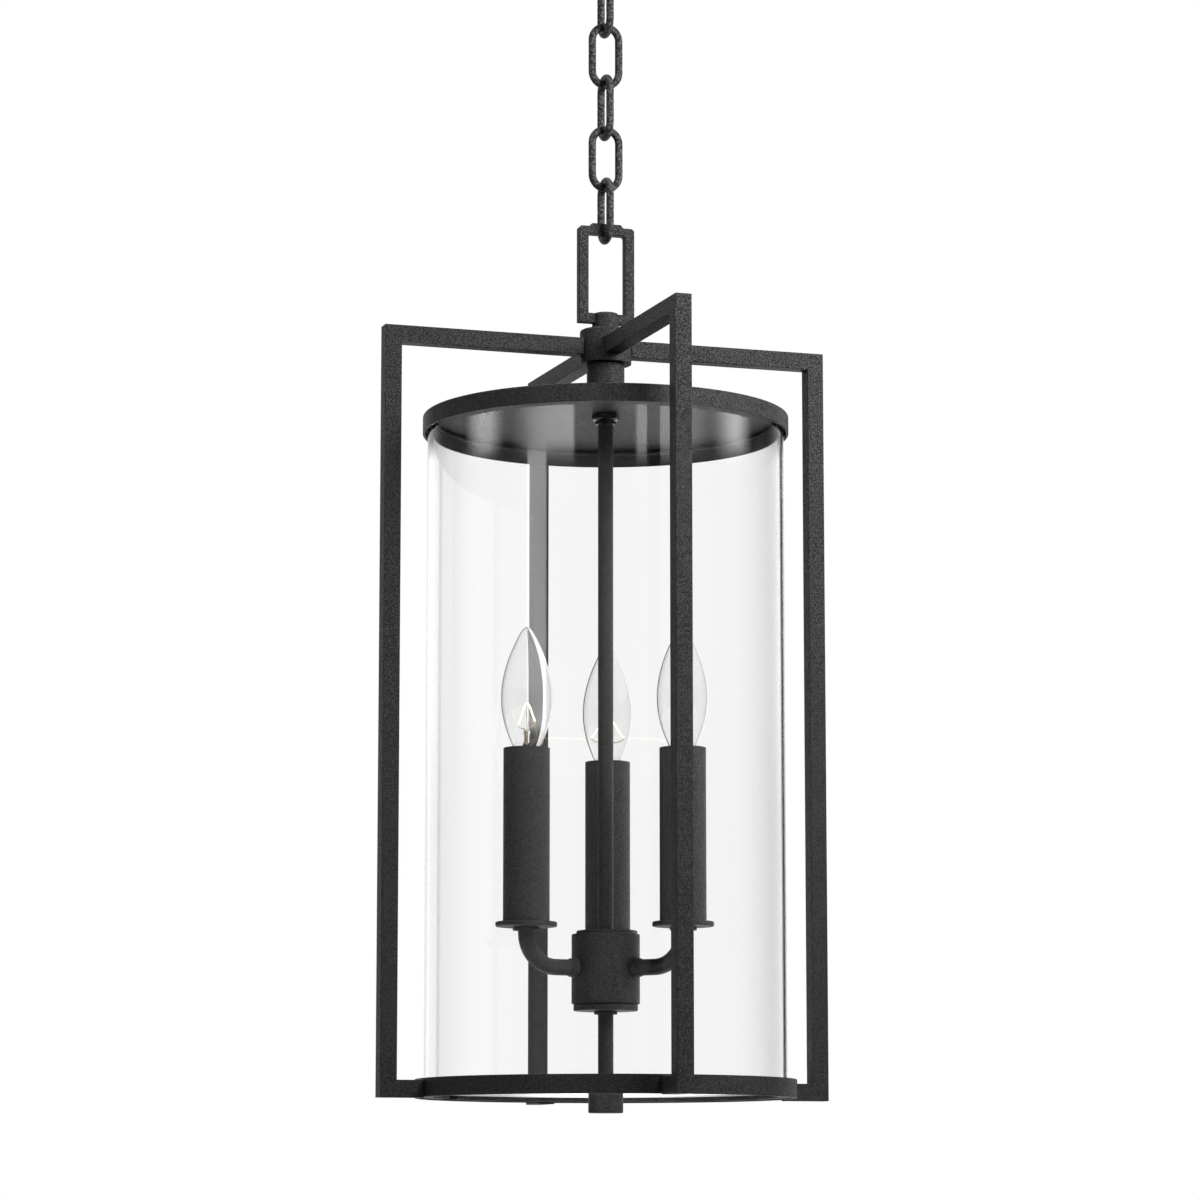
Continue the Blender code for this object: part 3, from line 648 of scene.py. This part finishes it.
def make_canopy_loop():
    """Wire loop with rounded corners, and the collar that it is screwed up by."""
    low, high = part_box("canopy_loop")
    corner = 6 * MM
    side = high.x - LOOP_WIRE - corner
    bottom = low.z + LOOP_WIRE
    top = bottom + 36 * MM
    corners = ((side, top - corner), (-side, top - corner), (-side, bottom + corner), (side, bottom + corner))
    path = []
    for quarter, centre in enumerate(corners):
        path += bow(centre, corner, 90 * quarter, 90 * quarter + 90, 8)
    path = [Vector((x, 0, z)) for x, z in path]
    bent("canopy_loop", path, LOOP_WIRE, SAND_BLACK, (0, 1, 0), closed=True)

    collar = 9 * MM
    base = top - LOOP_WIRE / 2
    outline = eased([
        (0, high.z),
        (collar, high.z, 0.6 * MM),
        (collar, base + 2 * MM, 1.2 * MM),
        (6 * MM, base, 0.5 * MM),
        (0, base),
    ], closed=False)
    turned("canopy_loop", outline, SAND_BLACK, sides=64, name="turned_loop_collar", at=Vector())


def make_ceiling_set():
    """Canopy, knurled ring nut, threaded nipple and wire loop."""
    make_canopy()
    make_collar_nut()
    _, radius, low, high = extent("canopy_nipple")
    turned("canopy_nipple", threaded(TUBE_BORE, radius, low, high, 0.95 * MM), ZINC, sides=48)
    make_canopy_loop()


def make_chain():
    """Oval links bent from round wire, each closed by a butt joint in one of its sides."""
    for number in LINKS:
        node = f"chain_link_{number}"
        low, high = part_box(node)
        middle = (low + high) / 2
        flat = (high.x - low.x) > (high.y - low.y)
        side = Vector((1, 0, 0)) if flat else Vector((0, 1, 0))
        across = Vector((0, 1, 0)) if flat else Vector((-1, 0, 0))
        bend = (high - low).dot(side) / 2 - LINK_WIRE
        straight = (high.z - low.z) / 2 - LINK_WIRE - bend
        joint = -1 if number % 2 == 0 else 1
        seam_level = 0.12 * straight
        top = [(x, z, 0.0) for x, z in bow((0, straight), bend, 0, 180, 22)]
        bottom = [(x, z, 0.0) for x, z in bow((0, -straight), bend, 180, 360, 22)]
        seam = [(joint * bend, seam_level - joint * offset * MM, dent) for offset, dent in LINK_SEAM]
        course = top + bottom + seam if joint == 1 else top + seam + bottom
        path = [middle + side * x + Vector((0, 0, z)) for x, z, _ in course]
        radii = [LINK_WIRE - dent * MM for _, _, dent in course]
        bent(node, path, radii, CHAIN_BLACK, across, closed=True)


# ---------------------------------------------------------------- frame


def make_hanger():
    """Rectangular loop with a raised pad on top, and a domed boss through its lower bar."""
    low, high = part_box("hanger_loop")
    half = high.x
    depth = 6 * MM
    side = 6.3 * MM
    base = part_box("top_hub")[1].z + 4.2 * MM
    pad = 9 * MM
    rise = 2 * MM
    top = high.z - rise
    clip = 1.6 * MM
    right = [
        (half, base),
        (half, top - clip),
        (half - clip, top),
        (pad + rise, top),
        (pad + 0.3 * MM, high.z),
    ]
    outer = right + [(-x, z) for x, z in right[::-1]]
    sill = base + side
    head = high.z - 7.3 * MM
    corner = 1.5 * MM
    hole = bow((half - side - corner, head - corner), corner, 0, 90, 5)
    hole += [(-x, z) for x, z in hole[::-1]]
    hole += [(side - half, sill), (half - side, sill)]
    cut_plate("hanger_loop", [outer, hole[::-1]], depth, 0.7 * MM, SAND_BLACK, stood_up())

    boss = 8.5 * MM
    dome = 1.2 * MM
    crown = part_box("hub_neck")[1].z + 32.9 * MM
    outline = eased([
        (0, crown),
        (boss - dome, crown, 0.8 * MM),
        (boss, crown - dome, 0.8 * MM),
        (boss, low.z),
        (0, low.z),
    ], closed=False)
    turned("hanger_loop", outline, SAND_BLACK, sides=64, name="turned_loop_boss", at=Vector())


def make_frame():
    """Turned hub and neck, and four C-shaped rails of square bar welded to the hub."""
    _, hub_radius, low, high = extent("top_hub")
    outline = eased([
        (ROD_BORE, high),
        (hub_radius, high, 1.6 * MM),
        (hub_radius, low, 0.4 * MM),
        (ROD_BORE, low),
    ])
    turned("top_hub", outline, SAND_BLACK)
    _, radius, low, high = extent("hub_neck")
    turned("hub_neck", tube_outline(ROD_BORE, radius, low, high, 0.25 * MM), SAND_BLACK)

    reach = hub_radius - 0.5 * MM
    ring = extent("bottom_ring")[1] + 0.05 * MM
    for quarter, name in enumerate(("right", "back", "left", "front")):
        node = f"frame_rail_{name}"
        low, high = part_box(node)
        outer = max(abs(low.x), abs(high.x), abs(low.y), abs(high.y))
        bar = min(high.x - low.x, high.y - low.y)
        outline = [
            (reach, high.z),
            (outer, high.z),
            (outer, low.z),
            (ring, low.z),
            (ring, low.z + bar),
            (outer - bar, low.z + bar),
            (outer - bar, high.z - bar),
            (reach, high.z - bar),
        ]
        cut_plate(node, [outline], bar, 0.45 * MM, SAND_BLACK, stood_up(quarter * math.pi / 2))


# ---------------------------------------------------------------- cap, glass and bottom ring


def make_glazing():
    """Spun cap with a turned-down rim, glass cylinder with polished ends, its seals and the ring."""
    _, radius, low, high = extent("top_cap")
    sheet = 1.5 * MM
    rim = high - 4.3 * MM
    outline = eased([
        (ROD_BORE, high),
        (radius, rim, 1.0 * MM),
        (radius, low, 0.35 * MM),
        (radius - sheet, low, 0.35 * MM),
        (radius - sheet, rim - sheet, 0.6 * MM),
        (ROD_BORE, high - sheet),
    ])
    turned("top_cap", outline, SAND_BLACK, sides=192)

    _, glass_radius, glass_low, high = extent("glass_cylinder")
    wall = 3 * MM
    outline = tube_outline(glass_radius - wall, glass_radius, glass_low, high, 0.5 * MM)
    turned("glass_cylinder", outline, TUBE_GLASS, sides=192)

    _, radius, low, high = extent("top_gasket")
    width = 5 * MM
    turned("top_gasket", tube_outline(radius - width, radius, low, high, 0.4 * MM), RUBBER, sides=192)

    _, radius, low, high = extent("bottom_gasket")
    clearance = 0.3 * MM
    lip = glass_radius + clearance
    seat = glass_low - clearance
    inner = lip - 4.7 * MM
    edge = 0.3 * MM
    outline = eased([
        (lip, high, edge),
        (radius, high, edge),
        (radius, low, edge),
        (inner, low, edge),
        (inner, seat, edge),
        (lip, seat),
    ])
    turned("bottom_gasket", outline, SILICONE, sides=192)

    _, radius, low, high = extent("bottom_ring")
    wall = radius - 3 * MM
    groove = wall + 1.2 * MM
    groove_low = low + 0.3 * MM
    groove_high = low + 3.1 * MM
    outline = eased([
        (wall, high, 0.3 * MM),
        (radius, high, 0.45 * MM),
        (radius, low, 0.45 * MM),
        (wall, low, 0.2 * MM),
        (wall, groove_low),
        (groove, groove_low),
        (groove, groove_high),
        (wall, groove_high),
    ])
    turned("bottom_ring", outline, SAND_BLACK, sides=192)


def hex_nut(node, material):
    """Hexagon nut with chamfered corners and a washer face."""
    low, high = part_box(node)
    flat = max(high.x, high.y) * math.cos(math.pi / 6)
    face = flat * 0.97
    bore = 4.95 * MM
    lead_in = 0.3 * MM
    slope = math.tan(math.radians(28))
    sides = 72
    shape = bmesh.new()
    rings = [[] for _ in range(6)]
    for side in range(sides):
        angle = TURN * side / sides
        off = (angle + math.pi / 6) % (math.pi / 3) - math.pi / 6
        reach = flat / math.cos(abs(abs(off) - math.pi / 6))
        drop = (reach - face) * slope
        places = (
            (bore, high.z - lead_in),
            (face, high.z),
            (reach, high.z - drop),
            (reach, low.z + drop),
            (face, low.z),
            (bore, low.z + lead_in),
        )
        for ring, (radius, level) in zip(rings, places):
            ring.append(shape.verts.new((radius * math.cos(angle), radius * math.sin(angle), level)))
    loft(shape, rings, closed=True)
    settle(shape, f"milled_{node}", node, material, smooth=18)


# ---------------------------------------------------------------- candle cluster


def make_centre():
    """The tube with its nuts, the cluster body with its plates, the lower rod and the finial."""
    hex_nut("cap_nut", SHADE_DARKENED_STEEL)
    hex_nut("jam_nut", SHADE_DARKENED_STEEL)
    _, radius, low, high = extent("centre_tube")
    turned("centre_tube", tube_outline(TUBE_BORE, radius, low, high, 0.3 * MM), SAND_BLACK, sides=64)
    for node, edge in (
        ("cluster_body", 0.7 * MM),
        ("cluster_top_plate", 0.35 * MM),
        ("cluster_bottom_cap", 0.5 * MM),
        ("cluster_nut", 0.4 * MM),
    ):
        _, radius, low, high = extent(node)
        turned(node, tube_outline(ROD_BORE, radius, low, high, edge, 0.2 * MM), SAND_BLACK)

    _, radius, low, high = extent("lower_rod")
    outline = eased([(0, high), (radius, high, 0.4 * MM), (radius, low, 0.4 * MM), (0, low)], closed=False)
    turned("lower_rod", outline, SAND_BLACK, sides=64)

    _, radius, low, high = extent("finial")
    socket = high - 8 * MM
    outline = eased([
        (0, socket),
        (ROD_BORE, socket),
        (ROD_BORE, high, 0.3 * MM),
        (radius, high, 0.7 * MM),
        (radius, low, 0.9 * MM),
        (0, low),
    ], closed=False)
    turned("finial", outline, SAND_BLACK)


def make_arm(number, middle, outward, across):
    """Arm of round bar that runs out from the cluster body and bends up, with a flange at its root."""
    node = f"candle_arm_{number}"
    low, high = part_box(node)
    bend = 20 * MM
    start = extent("cluster_body")[1] + 0.1 * MM
    level = low.z + ARM_STOCK
    path = [outward * start + Vector((0, 0, level))]
    for x, z in bow((middle.length - bend, level + bend), bend, -90, 0, 20):
        path.append(outward * x + Vector((0, 0, z)))
    path.append(middle + Vector((0, 0, high.z)))
    bent(node, path, ARM_STOCK, SAND_BLACK, across, sides=32)

    flange = [
        (0, 4.5 * MM),
        (5.5 * MM, 4.5 * MM, 0.5 * MM),
        (5.9 * MM, 2.2 * MM, 1.6 * MM),
        (6.65 * MM, 0.5 * MM, 0.3 * MM),
        (6.65 * MM, 0, 0.1 * MM),
        (0, 0),
    ]
    shape = lathe(eased(flange, closed=False), 48)
    facing = outward.to_track_quat("Z", "Y").to_matrix().to_4x4()
    shape.transform(Matrix.Translation(path[0]) @ facing)
    settle(shape, f"turned_arm_flange_{number}", f"arm_flange_{number}", SAND_BLACK)


def make_candle(number):
    """Curved arm with its flange and collar, drip plate, sleeve, socket and bulb."""
    middle, sleeve_radius, sleeve_low, mouth = extent(f"candle_sleeve_{number}")
    outward = middle.normalized()
    across = Vector((-outward.y, outward.x, 0))
    make_arm(number, middle, outward, across)

    bore = ARM_STOCK + 0.05 * MM
    for node, edge in ((f"bobeche_collar_{number}", 0.4 * MM), (f"bobeche_{number}", 0.9 * MM)):
        _, radius, low, high = extent(node)
        turned(node, tube_outline(bore, radius, low, high, edge, 0.1 * MM), SAND_BLACK, at=middle)
    wall = 1 * MM
    outline = tube_outline(sleeve_radius - wall, sleeve_radius, sleeve_low, mouth, 0.3 * MM)
    turned(f"candle_sleeve_{number}", outline, SAND_BLACK, at=middle)

    node = f"socket_{number}"
    _, radius, low, high = extent(node)
    well = mouth - 31 * MM
    well_radius = 6.4 * MM
    foot = 6 * MM
    outline = eased([
        (0, well),
        (well_radius, well),
        (well_radius, high, 0.5 * MM),
        (radius, high, 0.8 * MM),
        (radius, well - 12 * MM, 0.8 * MM),
        (foot, well - 16 * MM, 1.0 * MM),
        (foot, low, 0.3 * MM),
        (0, low),
    ], closed=False)
    turned(node, outline, CERAMIC, sides=48, at=middle)
    make_bulb(number, middle, mouth)
    make_filament(number, middle, mouth, outward)


def make_bulb(number, middle, mouth):
    """Torpedo bulb: blown glass with a drawn tip, and its screw base."""
    node = f"bulb_base_{number}"
    _, radius, low, high = extent(node)
    thread = threaded(0, radius, high - 17 * MM, high - 1.5 * MM, 1.8 * MM)[1:-1]
    outline = [
        (0, high),
        (radius - 0.2 * MM, high),
        *thread,
        (radius - 0.8 * MM, high - 18.5 * MM),
        (3.2 * MM, high - 21 * MM),
        (2 * MM, low + 0.3 * MM),
        (1.4 * MM, low),
        (0, low),
    ]
    turned(node, outline, BRASS, sides=48, at=middle)

    node = f"bulb_glass_{number}"
    rise = (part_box(node)[1].z - mouth) / BULB_HEIGHT
    skin = smooth_through([Vector((radius * MM, mouth + level * rise)) for radius, level in BULB_OUTLINE])
    skin[0].x = 0
    wall = 0.55 * MM
    lining = []
    for before, here, after in zip(skin, skin[1:], skin[2:]):
        along = (after - before).normalized()
        lining.append(here + Vector((along.y, -along.x)) * wall)
    lining = [spot for spot in lining if spot.x > 0.4 * MM]
    tip = Vector((0, lining[0].y + 0.15 * MM))
    base = Vector((lining[-1].x, skin[-1].y))
    turned(node, skin + [base] + lining[::-1] + [tip], BULB_GLASS, sides=64, at=middle)


def make_filament(number, middle, mouth, outward):
    """Flared glass stem with two gilt lead wires, a support wire and the coiled filament across them."""
    node = f"filament_stem_{number}"
    stem = [(radius * MM, mouth + level * MM, ease * MM) for radius, level, ease in STEM_OUTLINE]
    turned(node, eased(stem, closed=False), BULB_GLASS, sides=32, at=middle)

    side = Matrix.Rotation(FILAMENT_TURN, 3, "Z") @ outward
    across = Vector((-side.y, side.x, 0))

    def spot(out, level):
        return middle + side * (out * MM) + Vector((0, 0, mouth + level * MM))

    for hand, label in ((1, "near"), (-1, "far")):
        lead = smooth_through([spot(hand * out, level) for out, level in LEAD_PATH])
        bent(node, lead, 0.28 * MM, LEAD_WIRE, across, sides=8, name=f"lead_wire_{label}_{number}")
    post = smooth_through([spot(out, level) for out, level in POST_PATH])
    bent(node, post, 0.2 * MM, LEAD_WIRE, across, sides=8, name=f"support_wire_{number}")

    coil = []
    for step in range(COIL_TURNS * COIL_STEPS + 1):
        share = step / (COIL_TURNS * COIL_STEPS)
        angle = TURN * COIL_TURNS * share
        out = -FILAMENT_SPAN + 2 * FILAMENT_SPAN * share
        level = FILAMENT_FOOT + FILAMENT_RISE * math.sin(math.pi * share) ** 1.5
        upward = Vector((0, 0, COIL_RADIUS * math.cos(angle)))
        coil.append(spot(out, level) + upward + across * (COIL_RADIUS * math.sin(angle)))
    curve = bpy.data.curves.new(f"filament_{number}", "CURVE")
    curve.dimensions = "3D"
    curve.bevel_depth = 0.13 * MM
    curve.bevel_resolution = 1
    spline = curve.splines.new("POLY")
    spline.points.add(len(coil) - 1)
    for point, place in zip(spline.points, coil):
        point.co = (*place, 1)
    curve.materials.append(FILAMENT)
    piece = bpy.data.objects.new(f"coiled_filament_{number}", curve)
    SCENE.collection.objects.link(piece)
    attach(piece, BODY_OF[node])
    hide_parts(node)


def finish_kept_nodes():
    """The strap and the split ring keep their own shapes and get a finish."""
    for node, material in (("mounting_strap", ZINC), ("glass_retaining_ring", SAND_BLACK)):
        for slot in frame["nodes"][node].material_slots:
            slot.material = material


# ---------------------------------------------------------------- studio


def add_light(name, size, energy, place, aim):
    """A soft box that lights what is matt. It is mirrored nowhere, and the camera doesn't see it."""
    lamp = bpy.data.lights.new(name, "AREA")
    lamp.shape = "RECTANGLE"
    lamp.size, lamp.size_y = size
    lamp.energy = energy
    stand = bpy.data.objects.new(name, lamp)
    stand.location = place
    stand.rotation_euler = (Vector(place) - Vector(aim)).to_track_quat("Z", "Y").to_euler()
    stand.visible_camera = False
    stand.visible_glossy = False
    stand.visible_transmission = False
    SCENE.collection.objects.link(stand)


def cards(angle, *rows):
    """Light cards side by side, each from a row of where it begins and ends, softness and strength."""
    glow = 0.0
    for low, high, soft_low, soft_high, strength in rows:
        begun = angle.above(low - soft_low, low + soft_low)
        ended = angle.above(high - soft_high, high + soft_high)
        glow = begun * (1.0 - ended) * strength + glow
    return glow


def make_surroundings():
    """White surroundings. What shines sees a darker studio, with light cards at its sides."""
    sky = Finish("white_studio", bpy.data.worlds)
    aim = sky.node("ShaderNodeTexCoord", output="Generated")

    def towards(way):
        return sky.node("ShaderNodeVectorMath", {"operation": "DOT_PRODUCT"}, {0: aim, 1: way}, output="Value")

    sideways = {0: towards(CAMERA_RIGHT), 1: towards(CAMERA_BACK)}
    turn = sky.node("ShaderNodeMath", {"operation": "ARCTAN2"}, sideways) * (360 / TURN)
    upward = {0: towards(Vector((0, 0, 1)))}
    rise = sky.node("ShaderNodeMath", {"operation": "ARCSINE"}, upward) * (360 / TURN)
    behind = (1.0 - turn.above(-152, -126)) + turn.above(126, 152)

    sides = cards(turn, *LEFT_CARDS) + cards(turn, *RIGHT_CARDS)
    high = rise.above(10.2, 10.6) * (1.0 - rise.above(12.0, 15.0))
    strip = cards(turn, STRIP_CARD) * rise.above(6.45, 6.7) * (1.0 - high)
    room = rise.above(5.0, 7.5) * GLASS_UP + GLASS_LOW + behind
    on_glass = sides * high * GLASS_CARDS + strip * GLASS_STRIP + (1.0 - high) * room
    outside = sides * OUT_CARDS + behind * OUT_BACK + OUT_BASE + rise.above(20, 60) * OUT_TOP
    inside = turn.above(30, 100) * IN_RIGHT + cards(turn, (-130, -30, 30, 30, IN_LEFT)) + behind * IN_BACK

    # A ray that a piece outside mirrors has gone through no glass, one that the glass mirrors through one
    # or two of its faces, and one that a piece inside mirrors through more.
    through = sky.node("ShaderNodeLightPath", output="Transmission Depth")
    first = through.past(0)
    second = through.past(2)
    seen = outside * (1.0 - first) + on_glass * (first - second) + inside * second
    shine = sky.node("ShaderNodeLightPath", output="Glossy Depth").past(0)
    dull = sky.node("ShaderNodeLightPath", output="Diffuse Depth").past(0) * (1.0 - shine)
    glow = seen * shine + dull * SOFT_LIGHT + (1.0 - shine) * (1.0 - dull)
    backdrop = sky.node("ShaderNodeBackground", inputs={"Color": (1, 1, 1, 1), "Strength": glow})
    SCENE.world = sky.finished(backdrop, "ShaderNodeOutputWorld")
    SCENE.world.cycles.sampling_method = "NONE"


def make_studio():
    """Surroundings, soft boxes at the upper right and left, and a pale floor under the lantern."""
    make_surroundings()
    SCENE.view_settings.view_transform = "Standard"

    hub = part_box("top_hub")[1]
    aim = (0, 0, hub.z - SOFT_BOX_AIM)
    for name, size, energy, degrees in SOFT_BOXES:
        turn = math.radians(degrees)
        way = CAMERA_BACK * math.cos(turn) + CAMERA_RIGHT * math.sin(turn)
        add_light(name, size, energy, way * SOFT_BOX_FAR + Vector((0, 0, hub.z + SOFT_BOX_RISE)), aim)

    shape = bmesh.new()
    bmesh.ops.create_grid(shape, x_segments=8, y_segments=8, size=FLOOR_HALF)
    mesh = bpy.data.meshes.new("studio_floor")
    shape.to_mesh(mesh)
    shape.free()
    mesh.materials.append(FLOOR)
    ground = bpy.data.objects.new("studio_floor", mesh)
    ground.location.z = cad_box[0][2] - FLOOR_DROP
    ground.visible_diffuse = False
    ground.visible_glossy = False
    SCENE.collection.objects.link(ground)


def make_camera():
    """A long lens a little below the lantern's middle, looking up at it from its front left."""
    camera = bpy.data.objects.new("camera", bpy.data.cameras.new("camera"))
    camera.data.lens = CAMERA_LENS
    camera.data.sensor_width = CAMERA_SENSOR
    camera.location = CAMERA_BACK * CAMERA_FAR - CAMERA_RIGHT * CAMERA_LEFT + Vector((0, 0, CAMERA_LEVEL))
    ahead = Vector((0, 0, math.sin(CAMERA_PITCH))) - CAMERA_BACK * math.cos(CAMERA_PITCH)
    camera.rotation_euler = (-ahead).to_track_quat("Z", "Y").to_euler()
    SCENE.collection.objects.link(camera)
    SCENE.camera = camera


make_camera()
make_ceiling_set()
make_chain()
make_hanger()
make_frame()
make_glazing()
make_centre()
for candle in CANDLES:
    make_candle(candle)
finish_kept_nodes()
make_studio()
